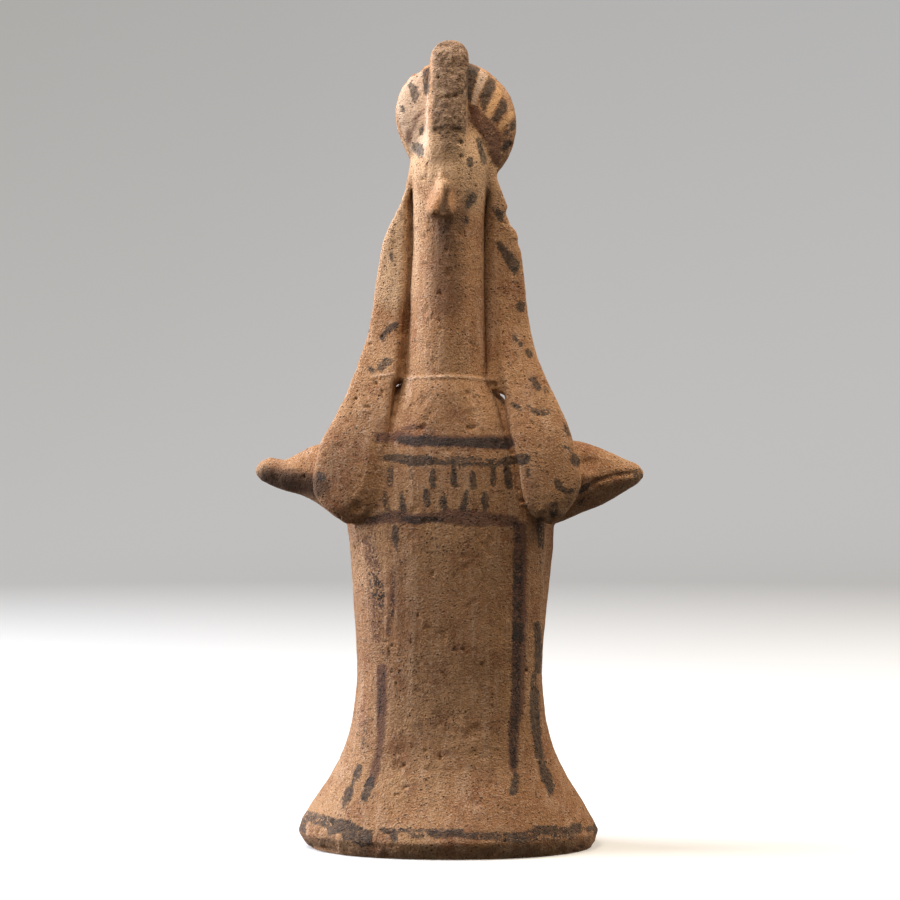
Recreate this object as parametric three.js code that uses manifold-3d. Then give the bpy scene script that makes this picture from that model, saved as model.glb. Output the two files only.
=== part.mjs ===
// A terracotta idol of a standing woman, built up by hand in one piece of clay and fired.
// The body is a flattened column on a flaring foot, with two pinched stub arms.
// A long neck carries a bird-like face, a round headdress stands behind the head,
// a broad crest rises in front of it, and two locks of hair run down to the chest.
// Millimetres, +Z up. The front faces -Y, and the origin is the middle of the underside.

import * as THREE from "three";
import Module from "manifold-3d";

const wasm = await Module();
wasm.setup();

// Driving dimensions
const HEIGHT = 240; // floor to the top of the crest
const FOOT_WIDTH = 90;
const FOOT_DEPTH = 60;
const WAIST_WIDTH = 55.6;
const WAIST_DEPTH = 36;
const CHEST_WIDTH = 62.4; // at the roots of the arms
const CHEST_DEPTH = 37;
const NECK_BASE_WIDTH = 27.4;
const NECK_WIDTH = 21.2; // just under the face
const HEAD_WIDTH = 23.4;
const HEAD_DEPTH = 21.5;
const ARM_SPAN = 116; // from fingertip to fingertip
const ARM_HEIGHT = 24; // of an arm where it leaves the body
const HEADDRESS_WIDTH = 36.2;
const HEADDRESS_DEPTH = 12.6; // from its front rim to its back
const CREST_WIDTH = 12.4;
const CREST_DEPTH = 10;
const LOCK_THICKNESS = 7.2;
const SLIT = 1; // between the neck and the back of a lock, where it is open
const BEAK_REACH = 8; // of the face's pinched beak, in front of the neck
const BEAK_TURN = 14; // degrees by which the beak points to the viewer's left

// How finely the clay is faceted: sides of a ring, and rings as shares of a form's length
const BODY_SIDES = 40;
const BODY_SPACING = 0.0195;
const PIECE_SIDES = 16;
const PIECE_SPACING = 0.02;
const ARM_SPACING = 0.055;

// A smooth curve through rows of [place, value, value, ...]. It gives all the values at a place,
// and its places are the rows' own, with more between rows that are far apart.
function through(rows, spacing) {
  const slope = (k, j) => {
    const before = rows[Math.max(k - 1, 0)];
    const after = rows[Math.min(k + 1, rows.length - 1)];
    return (after[j] - before[j]) / (after[0] - before[0]);
  };
  const at = (place) => {
    let k = 0;
    while (k < rows.length - 2 && rows[k + 1][0] < place) k++;
    const [from, to] = [rows[k], rows[k + 1]];
    const span = to[0] - from[0];
    const t = THREE.MathUtils.clamp((place - from[0]) / span, 0, 1);
    const [s, c] = [t * t * (3 - 2 * t), t * (1 - t)];
    return from.slice(1).map((value, i) => {
      const j = i + 1;
      const bend = slope(k, j) * (1 - t) - slope(k + 1, j) * t;
      return value * (1 - s) + to[j] * s + c * span * bend;
    });
  };
  const places = rows.slice(1).flatMap(([to], k) => {
    const from = rows[k][0];
    const count = Math.ceil((to - from) / spacing);
    return Array.from({ length: count }, (_, i) => from + ((to - from) * i) / count);
  });
  return { at, places: [...places, rows.at(-1)[0]] };
}

// A ring of points in the plane of two directions. Power 2 is an ellipse and more is squarer.
function ring(centre, across, along, halfAcross, halfAlong, power, sides) {
  const bulge = (x) => Math.sign(x) * Math.abs(x) ** (2 / power);
  return Array.from({ length: sides }, (_, i) => {
    const angle = (2 * Math.PI * i) / sides;
    return centre
      .clone()
      .addScaledVector(across, halfAcross * bulge(Math.cos(angle)))
      .addScaledVector(along, halfAlong * bulge(Math.sin(angle)));
  });
}

// One closed solid over a row of rings, with each end capped from its middle.
function skin(rings) {
  const sides = rings[0].length;
  const middle = (points) =>
    points
      .reduce((sum, p) => sum.add(p), new THREE.Vector3())
      .divideScalar(sides);
  const points = [...rings.flat(), middle(rings[0]), middle(rings.at(-1))];
  const lastRing = (rings.length - 1) * sides;
  const [first, last] = [points.length - 2, points.length - 1];
  const faces = [];
  for (let i = 0; i < sides; i++) {
    const next = (i + 1) % sides;
    for (let r = 0; r < lastRing; r += sides) {
      faces.push(r + i, r + next, r + next + sides);
      faces.push(r + i, r + next + sides, r + i + sides);
    }
    faces.push(first, next, i);
    faces.push(last, lastRing + i, lastRing + next);
  }
  const geometry = new THREE.BufferGeometry().setFromPoints(points);
  return new wasm.Manifold(
    new wasm.Mesh({
      numProp: 3,
      vertProperties: geometry.getAttribute("position").array,
      triVerts: new Uint32Array(faces),
    }),
  );
}

const X = new THREE.Vector3(1, 0, 0);
const Y = new THREE.Vector3(0, 1, 0);
const Z = new THREE.Vector3(0, 0, 1);

// The column: share of the height, width, depth, middle in X and Y, and squareness of the section
const HEAD_TOP = 0.93;
const columnRows = [
  [0.0, 0.94 * FOOT_WIDTH, 0.95 * FOOT_DEPTH, 0.5, 0, 2.1],
  [0.008, 0.975 * FOOT_WIDTH, 0.98 * FOOT_DEPTH, 0.3, 0, 2.1],
  [0.02, FOOT_WIDTH, FOOT_DEPTH, -0.2, 0, 2.1],
  [0.034, 0.97 * FOOT_WIDTH, 0.955 * FOOT_DEPTH, -0.5, 0, 2.1],
  [0.066, 0.86 * FOOT_WIDTH, 0.82 * FOOT_DEPTH, -0.4, 0, 2.2],
  [0.104, 0.74 * FOOT_WIDTH, 0.69 * FOOT_DEPTH, -0.2, 0, 2.3],
  [0.141, 1.075 * WAIST_WIDTH, 1.06 * WAIST_DEPTH, 0, 0, 2.4],
  [0.18, 1.02 * WAIST_WIDTH, 1.01 * WAIST_DEPTH, 0, 0, 2.5],
  [0.23, WAIST_WIDTH, WAIST_DEPTH, 0, 0, 2.5],
  [0.34, 0.95 * CHEST_WIDTH, 0.985 * CHEST_DEPTH, 0.4, 0, 2.5],
  [0.38, 0.98 * CHEST_WIDTH, CHEST_DEPTH, 0.6, 0, 2.5],
  [0.42, CHEST_WIDTH, CHEST_DEPTH, 0.2, 0, 2.5],
  [0.48, 0.94 * CHEST_WIDTH, 0.96 * CHEST_DEPTH, 0, 0, 2.3],
  [0.53, 1.6 * NECK_BASE_WIDTH, 1.14 * NECK_BASE_WIDTH, -0.6, -0.3, 2.2],
  [0.566, 1.15 * NECK_BASE_WIDTH, 1.04 * NECK_BASE_WIDTH, -0.9, -0.6, 2.0],
  [0.579, 1.03 * NECK_BASE_WIDTH, 0.97 * NECK_BASE_WIDTH, -0.9, -0.8, 2.0],
  [0.586, 0.965 * NECK_BASE_WIDTH, 0.92 * NECK_BASE_WIDTH, -0.9, -0.8, 2.0],
  [0.65, 1.1 * NECK_WIDTH, 1.1 * NECK_WIDTH, -0.6, -0.8, 2.0],
  [0.71, 1.03 * NECK_WIDTH, 1.03 * NECK_WIDTH, -0.3, -0.8, 2.0],
  [0.77, NECK_WIDTH, NECK_WIDTH, -0.2, -0.8, 2.0],
  [0.82, 0.96 * HEAD_WIDTH, HEAD_DEPTH, 0, -1.2, 2.1],
  [0.848, HEAD_WIDTH, 0.98 * HEAD_DEPTH, 0.4, -1.4, 2.1],
  [0.868, 0.9 * HEAD_WIDTH, 0.9 * HEAD_DEPTH, 0.2, -1.4, 2.0],
  [0.89, 0.72 * HEAD_WIDTH, 0.7 * HEAD_DEPTH, 0, -1.4, 2.0],
  [0.912, 0.5 * HEAD_WIDTH, 0.5 * HEAD_DEPTH, 0, -0.8, 2.0],
  [HEAD_TOP, 0.2 * HEAD_WIDTH, 0.24 * HEAD_DEPTH, 0, 0, 2.0],
];
const column = through(columnRows, BODY_SPACING);

function body() {
  return skin(
    column.places.map((share) => {
      const [width, depth, x, y, power] = column.at(share);
      const centre = new THREE.Vector3(x, y, share * HEIGHT);
      return ring(centre, X, Y, width / 2, depth / 2, power, BODY_SIDES);
    }),
  );
}

// The pinched beak of the face, from its flat underside up to the forehead:
// share of the height, reach in front of the neck, half width
const beakRows = [
  [0.781, 0.76 * BEAK_REACH, 0.17 * HEAD_WIDTH],
  [0.7835, 0.95 * BEAK_REACH, 0.195 * HEAD_WIDTH],
  [0.7865, BEAK_REACH, 0.205 * HEAD_WIDTH],
  [0.793, 0.86 * BEAK_REACH, 0.215 * HEAD_WIDTH],
  [0.808, 0.48 * BEAK_REACH, 0.22 * HEAD_WIDTH],
  [0.823, 0.2 * BEAK_REACH, 0.2 * HEAD_WIDTH],
  [0.845, 0, 0.16 * HEAD_WIDTH],
];
const beakForm = through(beakRows, PIECE_SPACING / 2);

function beak() {
  const turn = THREE.MathUtils.degToRad(BEAK_TURN);
  const ahead = new THREE.Vector3(-Math.sin(turn), -Math.cos(turn), 0);
  const aside = new THREE.Vector3().crossVectors(ahead, Z);
  const pinch = 1.15;
  return skin(
    beakForm.places.map((share) => {
      const [reach, halfWidth] = beakForm.at(share);
      const [, neckDepth, x, y] = column.at(share);
      const halfLength = (neckDepth / 2 + reach) / 2;
      const centre = new THREE.Vector3(x, y, share * HEIGHT).addScaledVector(ahead, halfLength);
      return ring(centre, aside, ahead, halfWidth, halfLength, pinch, PIECE_SIDES);
    }),
  );
}

// How far from the middle a lock's inner edge hangs beside the neck
const beside = (share) => column.at(share)[0] / 2 + SLIT;

// The two flat locks of hair, by side: share of the height, inner and outer edge from the middle,
// middle in Y, and the degrees by which the outer edge turns back round the shoulder
const CHEST_SIDE = CHEST_WIDTH / 2;
const LOCK_TOP = 0.868;
const LOCK_END = 0.4035;
const lockRows = {
  left: [
    [LOCK_END, 0.92 * CHEST_SIDE, 0.98 * CHEST_SIDE, -11.6, 5],
    [0.4075, 0.85 * CHEST_SIDE, 1.03 * CHEST_SIDE, -11.8, 6],
    [0.4155, 0.765 * CHEST_SIDE, 1.12 * CHEST_SIDE, -12, 7],
    [0.4255, 0.68 * CHEST_SIDE, 1.215 * CHEST_SIDE, -12, 8],
    [0.4405, 0.635 * CHEST_SIDE, 1.3 * CHEST_SIDE, -11.9, 9],
    [0.46, 0.61 * CHEST_SIDE, 1.31 * CHEST_SIDE, -11.7, 9],
    [0.5, 0.555 * CHEST_SIDE, 1.255 * CHEST_SIDE, -10.6, 10],
    [0.53, 0.52 * CHEST_SIDE, 1.135 * CHEST_SIDE, -8.8, 11],
    [0.5725, beside(0.5725) - 0.5 * SLIT, 0.98 * CHEST_SIDE, -5.8, 13],
    [0.61, beside(0.61), 0.88 * CHEST_SIDE, -2.9, 15],
    [0.65, beside(0.65), 0.785 * CHEST_SIDE, -0.4, 16],
    [0.7146, beside(0.7146), 0.705 * CHEST_SIDE, 1.2, 17],
    [0.752, beside(0.752), 0.655 * CHEST_SIDE, 1.2, 16],
    [0.79, beside(0.79), 0.54 * CHEST_SIDE, 0.6, 13],
    [0.8144, beside(0.8144) - 0.9 * SLIT, 0.46 * CHEST_SIDE, 0, 9],
    [0.828, 0.3 * HEAD_WIDTH, 0.418 * CHEST_SIDE, -0.5, 6],
    [0.847, 0.24 * HEAD_WIDTH, 0.385 * CHEST_SIDE, -0.8, 2],
    [LOCK_TOP, 0.2 * HEAD_WIDTH, 0.32 * CHEST_SIDE, -0.8, 0],
  ],
  right: [
    [LOCK_END, 0.93 * CHEST_SIDE, 0.99 * CHEST_SIDE, -13.8, 5],
    [0.4075, 0.86 * CHEST_SIDE, 1.04 * CHEST_SIDE, -14, 6],
    [0.4155, 0.74 * CHEST_SIDE, 1.115 * CHEST_SIDE, -14.2, 8],
    [0.4278, 0.665 * CHEST_SIDE, 1.19 * CHEST_SIDE, -14.2, 9],
    [0.44, 0.645 * CHEST_SIDE, 1.25 * CHEST_SIDE, -14.1, 10],
    [0.4564, 0.635 * CHEST_SIDE, 1.275 * CHEST_SIDE, -13.8, 10],
    [0.4917, 0.585 * CHEST_SIDE, 1.215 * CHEST_SIDE, -12.9, 11],
    [0.53, 0.53 * CHEST_SIDE, 1.125 * CHEST_SIDE, -10.6, 11],
    [0.5725, beside(0.5725) - 0.5 * SLIT, 0.975 * CHEST_SIDE, -7, 12],
    [0.61, beside(0.61), 0.86 * CHEST_SIDE, -3.8, 12],
    [0.65, beside(0.65) + 0.3 * SLIT, 0.79 * CHEST_SIDE, -1, 12],
    [0.7146, beside(0.7146) + 0.3 * SLIT, 0.73 * CHEST_SIDE, 1, 11],
    [0.752, beside(0.752) + 0.2 * SLIT, 0.69 * CHEST_SIDE, 1.1, 10],
    [0.79, beside(0.79), 0.59 * CHEST_SIDE, 0.6, 8],
    [0.8144, beside(0.8144) - 0.9 * SLIT, 0.52 * CHEST_SIDE, 0, 5],
    [0.828, 0.3 * HEAD_WIDTH, 0.475 * CHEST_SIDE, -0.5, 3],
    [0.845, 0.24 * HEAD_WIDTH, 0.44 * CHEST_SIDE, -0.8, 0],
    [LOCK_TOP, 0.2 * HEAD_WIDTH, 0.36 * CHEST_SIDE, -0.8, 0],
  ],
};

// One lock, side -1 at the viewer's left and 1 at the right
function lock(side) {
  const form = through(side < 0 ? lockRows.left : lockRows.right, PIECE_SPACING);
  const squareness = 4;
  return skin(
    form.places.map((share) => {
      const [inner, outer, middle, turnBack] = form.at(share);
      const turn = side * THREE.MathUtils.degToRad(turnBack);
      const across = new THREE.Vector3(Math.cos(turn), Math.sin(turn), 0);
      const along = new THREE.Vector3(-Math.sin(turn), Math.cos(turn), 0);
      const halfThickness = (LOCK_THICKNESS / 2) * Math.min(1, 0.6 + (share - LOCK_END) / 0.03);
      // The turned corners reach this much past the middles of the edges.
      const corner = halfThickness * Math.abs(Math.sin(turn));
      const halfWidth = ((outer - inner) / 2 - corner) / Math.cos(turn);
      const centre = new THREE.Vector3((side * (inner + outer)) / 2, middle, share * HEIGHT);
      return ring(centre, across, along, halfWidth, halfThickness, squareness, PIECE_SIDES);
    }),
  );
}

// The arms: share of the way out to the fingertip, then share of the height,
// half height and half depth as shares of ARM_HEIGHT, and middle in Y
const armRows = {
  left: [
    [0.35, 0.449, 0.54, 0.42, 0],
    [0.55, 0.453, 0.49, 0.38, 0],
    [0.69, 0.4645, 0.37, 0.31, 0.5],
    [0.77, 0.4645, 0.27, 0.26, 1],
    [0.85, 0.462, 0.195, 0.21, 1.5],
    [0.93, 0.467, 0.17, 0.175, 2],
    [0.975, 0.4675, 0.12, 0.125, 2],
    [1, 0.4675, 0.04, 0.04, 2],
  ],
  right: [
    [0.35, 0.451, 0.54, 0.44, 0],
    [0.55, 0.4545, 0.53, 0.4, 0],
    [0.68, 0.4595, 0.45, 0.34, 0],
    [0.8, 0.4605, 0.34, 0.28, 0.5],
    [0.91, 0.4625, 0.2, 0.2, 1],
    [0.975, 0.4635, 0.11, 0.12, 1],
    [1, 0.4635, 0.03, 0.04, 1],
  ],
};

function arm(side) {
  const form = through(side < 0 ? armRows.left : armRows.right, ARM_SPACING);
  const out = X.clone().multiplyScalar(side);
  const up = new THREE.Vector3().crossVectors(out, Y);
  const squareness = 1.8;
  return skin(
    form.places.map((reach) => {
      const [share, halfHeight, halfDepth, middle] = form.at(reach);
      const centre = new THREE.Vector3((side * reach * ARM_SPAN) / 2, middle, share * HEIGHT);
      const [thickness, height] = [halfDepth * ARM_HEIGHT, halfHeight * ARM_HEIGHT];
      return ring(centre, Y, up, thickness, height, squareness, PIECE_SIDES);
    }),
  );
}

// The headdress, a thick plate on edge behind the head. From the middle of its slightly
// domed front, over the rim, to the middle of its back: share of its depth, share of its size.
const HEADDRESS_SHIFT = 1.9; // to the viewer's right
const HEADDRESS_LEAN = 0.08; // of its top, to the viewer's left
const HEADDRESS_MIDDLE = 0.905; // share of the height of its widest line
const HEADDRESS_ABOVE = 0.074; // from there to its top, as a share of the height
const HEADDRESS_BELOW = 0.086;
const HEADDRESS_FRONT = -4.8;
const HEADDRESS_TIP_BACK = 0.15; // of its upper half, away from the face
const plate = [
  [-0.08, 0.05],
  [-0.06, 0.4],
  [0.0, 0.68],
  [0.08, 0.87],
  [0.16, 0.96],
  [0.26, 1.0],
  [0.37, 0.995],
  [0.48, 0.94],
  [0.68, 0.76],
  [0.87, 0.48],
  [1.0, 0.1],
];

function headdress() {
  const middle = new THREE.Vector3(HEADDRESS_SHIFT, 0, HEADDRESS_MIDDLE * HEIGHT);
  return skin(
    plate.map(([depth, size]) => {
      const outline = ring(new THREE.Vector3(), X.clone().negate(), Z, size, size, 2, 2 * PIECE_SIDES);
      return outline.map((p) => {
        const reach = (p.z > 0 ? HEADDRESS_ABOVE : HEADDRESS_BELOW) * HEIGHT;
        const up = p.z * reach;
        const across = (p.x * HEADDRESS_WIDTH) / 2 - HEADDRESS_LEAN * up;
        const tip = HEADDRESS_TIP_BACK * Math.max(up, 0);
        const back = HEADDRESS_FRONT + depth * HEADDRESS_DEPTH + tip;
        return new THREE.Vector3(across, back, up).add(middle);
      });
    }),
  );
}

// The crest in front of the headdress, and the forehead under it that carries it:
// share of the height, width, depth, middle in X and Y
const crestRows = [
  [0.832, 0.6 * CREST_WIDTH, 0.5 * CREST_DEPTH, -0.8, -7.8],
  [0.845, 0.9 * CREST_WIDTH, 0.7 * CREST_DEPTH, -0.8, -8.1],
  [0.862, CREST_WIDTH, 0.88 * CREST_DEPTH, -0.8, -8.1],
  [0.881, CREST_WIDTH, 0.95 * CREST_DEPTH, -0.8, -7.9],
  [0.885, CREST_WIDTH, 0.95 * CREST_DEPTH, -0.8, -7.9],
  [0.8905, CREST_WIDTH, 1.06 * CREST_DEPTH, -0.8, -8.2],
  [0.9, CREST_WIDTH, 1.08 * CREST_DEPTH, -0.7, -8.0],
  [0.94, 0.97 * CREST_WIDTH, CREST_DEPTH, -0.5, -7.0],
  [0.97, 0.92 * CREST_WIDTH, 0.9 * CREST_DEPTH, -0.1, -6.3],
  [0.9855, 0.84 * CREST_WIDTH, 0.76 * CREST_DEPTH, 0.1, -6.1],
  [0.995, 0.6 * CREST_WIDTH, 0.5 * CREST_DEPTH, 0.2, -6.0],
  [1, 0.2 * CREST_WIDTH, 0.16 * CREST_DEPTH, 0.3, -6.0],
];

function crest() {
  const form = through(crestRows, PIECE_SPACING * 0.7);
  const squareness = 3;
  return skin(
    form.places.map((share) => {
      const [width, depth, x, y] = form.at(share);
      const centre = new THREE.Vector3(x, y, share * HEIGHT);
      return ring(centre, X, Y, width / 2, depth / 2, squareness, PIECE_SIDES);
    }),
  );
}

// The fired clay, one solid
const clay = [lock(-1), lock(1), arm(-1), arm(1), headdress(), crest(), beak()].reduce(
  (whole, piece) => whole.add(piece),
  body(),
);

function geometryOf(solid) {
  const made = solid.getMesh();
  const geometry = new THREE.BufferGeometry();
  geometry.setAttribute("position", new THREE.BufferAttribute(made.vertProperties, 3));
  geometry.setIndex(new THREE.BufferAttribute(made.triVerts, 1));
  geometry.computeVertexNormals();
  return geometry;
}

const terracotta = new THREE.MeshStandardMaterial({
  color: "#a9764f",
  roughness: 0.9,
  metalness: 0,
});

const idol = new THREE.Mesh(geometryOf(clay), terracotta);
idol.name = "idol";

const figurine = new THREE.Group();
figurine.add(idol);

export default figurine;
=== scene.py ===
# The painted terracotta idol: hand-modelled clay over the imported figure, slip-painted and worn.
# Everything is in metres here. Sizes that belong to the clay or the brush are named in millimetres.

import math
import bpy
import numpy as np
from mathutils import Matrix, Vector


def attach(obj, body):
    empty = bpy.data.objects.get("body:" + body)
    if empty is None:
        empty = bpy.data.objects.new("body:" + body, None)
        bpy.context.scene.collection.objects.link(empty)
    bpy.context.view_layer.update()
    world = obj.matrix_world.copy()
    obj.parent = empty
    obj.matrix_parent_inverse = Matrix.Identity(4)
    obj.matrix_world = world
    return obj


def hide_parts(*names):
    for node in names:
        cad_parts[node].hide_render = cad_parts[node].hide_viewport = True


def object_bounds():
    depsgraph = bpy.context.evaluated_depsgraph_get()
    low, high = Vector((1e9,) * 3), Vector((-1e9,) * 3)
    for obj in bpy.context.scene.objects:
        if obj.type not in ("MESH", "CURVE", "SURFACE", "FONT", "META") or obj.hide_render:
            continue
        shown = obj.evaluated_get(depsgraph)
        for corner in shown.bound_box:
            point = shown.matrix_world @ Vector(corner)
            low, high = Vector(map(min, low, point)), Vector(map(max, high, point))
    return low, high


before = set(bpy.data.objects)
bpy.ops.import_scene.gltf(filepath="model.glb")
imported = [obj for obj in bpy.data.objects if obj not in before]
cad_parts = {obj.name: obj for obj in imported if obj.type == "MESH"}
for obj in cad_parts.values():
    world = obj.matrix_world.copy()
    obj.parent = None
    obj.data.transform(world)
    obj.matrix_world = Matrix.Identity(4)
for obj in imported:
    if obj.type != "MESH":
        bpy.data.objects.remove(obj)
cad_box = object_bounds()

MM = 0.001

# The photograph's camera: level with the chest, a little under a metre away

PHOTO_SIZE = 900
MM_PER_PIXEL = 0.2993  # at the figure's middle
CAMERA_DISTANCE = 860.0
CAMERA_HEIGHT = 132.0
AIM_HEIGHT = 118.5
CAMERA_ASIDE = 0.15
SENSOR_MM = 36.0
FOCAL_PIXELS = CAMERA_DISTANCE / MM_PER_PIXEL

camera_at = np.array([CAMERA_ASIDE, -CAMERA_DISTANCE, CAMERA_HEIGHT])
aim_at = np.array([CAMERA_ASIDE, 0.0, AIM_HEIGHT])


def on_photo(points):
    """Where points of the figure, in mm, show on the photograph, in pixels."""
    ahead = (aim_at - camera_at) / np.linalg.norm(aim_at - camera_at)
    right = np.array([1.0, 0.0, 0.0])
    up = np.cross(right, ahead)
    reach = points - camera_at
    scale = FOCAL_PIXELS / (reach @ ahead)
    middle = PHOTO_SIZE / 2
    return np.stack([middle + (reach @ right) * scale, middle - (reach @ up) * scale], axis=1)


def set_camera():
    data = bpy.data.cameras.new("camera")
    data.sensor_width = SENSOR_MM
    data.lens = FOCAL_PIXELS / PHOTO_SIZE * SENSOR_MM
    data.clip_start = 0.05
    camera = bpy.data.objects.new("camera", data)
    camera.location = Vector(camera_at * MM)
    camera.rotation_euler = Vector((aim_at - camera_at) * MM).to_track_quat("-Z", "Y").to_euler()
    bpy.context.collection.objects.link(camera)
    bpy.context.scene.camera = camera


# The clay body


def grain(points, size, seed):
    """Smooth noise from -1 to 1 with lumps of this size in mm. size may differ by axis."""
    cells = 32
    lattice = np.random.default_rng(seed).uniform(-1, 1, (cells, cells, cells))
    place = points / np.asarray(size, dtype=float) + 500.37
    low = np.floor(place).astype(int)
    t = place - low
    t = t * t * (3 - 2 * t)
    total = np.zeros(len(points))
    for corner in np.ndindex(2, 2, 2):
        at = (low + corner) % cells
        weight = np.prod(np.where(corner, t, 1 - t), axis=1)
        total += weight * lattice[at[:, 0], at[:, 1], at[:, 2]]
    return total


def soft_step(low, high, value):
    t = np.clip((value - low) / (high - low), 0, 1)
    return t * t * (3 - 2 * t)


def near_line(pixels, route):
    """Distance in pixels from each point to a route of photo pixels."""
    best = np.full(len(pixels), np.inf)
    for start, end in zip(route[:-1], route[1:]):
        start, along = np.array(start, float), np.array(end, float) - np.array(start, float)
        t = np.clip(((pixels - start) @ along) / max(along @ along, 1e-9), 0, 1)
        best = np.minimum(best, np.linalg.norm(pixels - start - t[:, None] * along, axis=1))
    return best


def mesh_arrays(mesh):
    points = np.empty(len(mesh.vertices) * 3)
    mesh.vertices.foreach_get("co", points)
    edges = np.empty(len(mesh.edges) * 2, dtype=int)
    mesh.edges.foreach_get("vertices", edges)
    return points.reshape(-1, 3) / MM, edges.reshape(-1, 2)


def normals_of(mesh):
    normals = np.empty(len(mesh.vertices) * 3)
    mesh.vertex_normals.foreach_get("vector", normals)
    return normals.reshape(-1, 3)


def put_back(mesh, points):
    mesh.vertices.foreach_set("co", (points * MM).ravel())
    mesh.update()


def rub(points, edges, strength, passes):
    """Smooths the clay as a wet thumb does, by each point's own strength from 0 to 1."""
    ends = np.concatenate([edges, edges[:, ::-1]])
    count = np.bincount(ends[:, 0], minlength=len(points))[:, None]
    for _ in range(passes):
        pulls = [
            np.bincount(ends[:, 0], weights=points[ends[:, 1], axis], minlength=len(points))
            for axis in range(3)
        ]
        points = points + strength * (np.stack(pulls, axis=1) / count - points)
    return points


def plain_rub(points, edges, passes):
    """Rounds facets and creases without shrinking the form."""
    for _ in range(passes):
        points = rub(points, edges, 0.5, 1)
        points = rub(points, edges, -0.53, 1)
    return points


def apply_modifier(piece, kind, **settings):
    modifier = piece.modifiers.new(kind, kind)
    for name, value in settings.items():
        setattr(modifier, name, value)
    with bpy.context.temp_override(object=piece, active_object=piece, selected_objects=[piece]):
        bpy.ops.object.modifier_apply(modifier=modifier.name)


CLAY_STEP = 0.45  # mm between the points of the worked surface
FACE_LIMIT = 194000  # triangles left on the finished piece


def raw_clay():
    """The figure as the frame holds it, on an even fine mesh."""
    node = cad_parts["idol"]
    mesh = node.data.copy()
    mesh.transform(node.matrix_world)
    mesh.name = "terracotta_idol"
    piece = bpy.data.objects.new("terracotta_idol", mesh)
    bpy.context.collection.objects.link(piece)
    apply_modifier(piece, "REMESH", mode="VOXEL", voxel_size=CLAY_STEP * MM)
    return piece


SLIT_LOW = 124.0  # mm above the floor, where each slit beside the neck ends
SLIT_HIGH = 198.0
SLIT_LEVELS = [124, 131, 138, 146, 160, 175, 196]
SLIT_MIDDLES = [17.2, 16.0, 15.2, 13.5, 12.5, 11.6, 11.5]  # mm to each side
SLICE_HALF = 0.7  # mm above and below a level that count to it
NECK_LEAST = 6.0  # mm, inside the neck on every level
MIDDLE_PLAY = 1.7  # mm by which a slit may lie off its expected middle
WALL = 1.5  # mm of a lock beside the slit that count as its inner wall
SLIT_LEAST = 0.3  # mm, less than which two walls count as joined
SLIT_WIDTH = {-1: 0.5, 1: 1.9}  # mm at the front, for the left and the right lock
COLLAR_TOP = 139.0  # mm above the floor
COLLAR_TUCK = 1.6  # mm more beside the collar
TUCK = 1.4  # mm by which the locks' inner walls reach in behind the neck


def lean_locks_on_neck(points):
    """Slants each lock's inner wall back until it all but touches the neck, as hand-pressed
    clay does, so that the slit shows as a dark line."""
    x, y, z = points.T
    for side in (-1, 1):
        reach = side * x
        shape = []
        for level in np.arange(SLIT_HIGH - 4, SLIT_LOW, -1.0):
            slice_here = np.abs(z - level) < SLICE_HALF
            row = np.sort(reach[slice_here & (reach > NECK_LEAST)])
            middle = np.interp(level, SLIT_LEVELS, SLIT_MIDDLES)
            gaps = np.diff(row) * (np.abs((row[1:] + row[:-1]) / 2 - middle) < MIDDLE_PLAY)
            widest = np.argmax(gaps)
            neck, inner = row[widest], row[widest + 1]
            if inner - neck > SLIT_LEAST:
                wall = slice_here & (reach > (neck + inner) / 2) & (reach < inner + WALL)
                shape.append((level, neck, inner, y[wall].min(), y[wall].max()))
        level, neck, inner, front, back = np.array(shape[::-1]).T
        beside = np.clip(np.arange(len(level))[:, None] + [-1, 0, 1], 0, len(level) - 1)
        neck, inner = neck[beside].min(axis=1), inner[beside].max(axis=1)
        neck, inner, front, back = (np.interp(z, level, values) for values in (neck, inner, front, back))
        lowest = level.min()
        on_lock = (reach > (neck + inner) / 2) & (z > lowest - 1.5) & (z < SLIT_HIGH)
        turn = soft_step(lowest - 1.5, lowest + 1, z) * soft_step(SLIT_HIGH, SLIT_HIGH - 2, z) * on_lock
        closer = np.maximum(inner - neck - SLIT_WIDTH[side], 0)
        points[:, 0] -= side * turn * soft_step(8, 2, reach - inner) * closer
        turn *= soft_step(5, 1.5, reach - inner) * soft_step(0.1, 0.75, (y - front) / (back - front))
        tuck = TUCK + COLLAR_TUCK * soft_step(COLLAR_TOP + 4, COLLAR_TOP, z)
        points[:, 0] -= side * turn * (inner - neck + tuck - closer)
    return points


# Marks on the clay that the photograph shows, in its pixels

COLLAR_RIDGE = [(396, 381), (415, 378), (447, 376.5), (478, 378), (498, 381)]
LOCK_RIDGE = [(370, 377.5), (383, 375), (395, 374)]
CREST_CRACK = [(437, 97), (446, 97.5), (455, 96), (463, 92.5)]
CREST_EDGE_CUT = [(437, 129), (447, 127.5), (459, 131)]
BODY_CRACK = [(479, 527), (478, 552), (480, 566), (484, 576), (484.5, 583)]
BODY_SCRATCH = [(468.5, 605.5), (474.5, 600)]
LEFT_SEAM = [(400, 380), (397, 396), (394, 412), (391, 431)]
RIGHT_SEAM = [(494, 384), (499, 404), (505, 428), (511, 446), (516, 462), (518, 484), (521, 502)]
LOCK_END_SEAM = [(521, 502), (528, 511), (536, 515), (544, 514)]
HEAD_SEAM = [(470, 106), (475, 124), (482, 136), (489, 153), (496, 166)]
CHEEK_GROOVE = [(427, 164), (427, 178)]
ARM_CREASE = [(592, 485), (597, 481), (615, 475.5), (639, 472.6)]
BEAK = [(444, 184), (440, 198), (433, 211)]
BEAK_SHADE = [(447, 193), (446, 203), (444, 211)]
MELTED = [
    ([(391, 434), (386, 452), (384, 477), (379, 492), (366, 509), (348, 520)], 17, 220),
    ([(588, 488), (580, 502), (568, 512), (552, 518)], 15, 160),
    ([(438, 219), (454, 218)], 8, 50),
]
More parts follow.
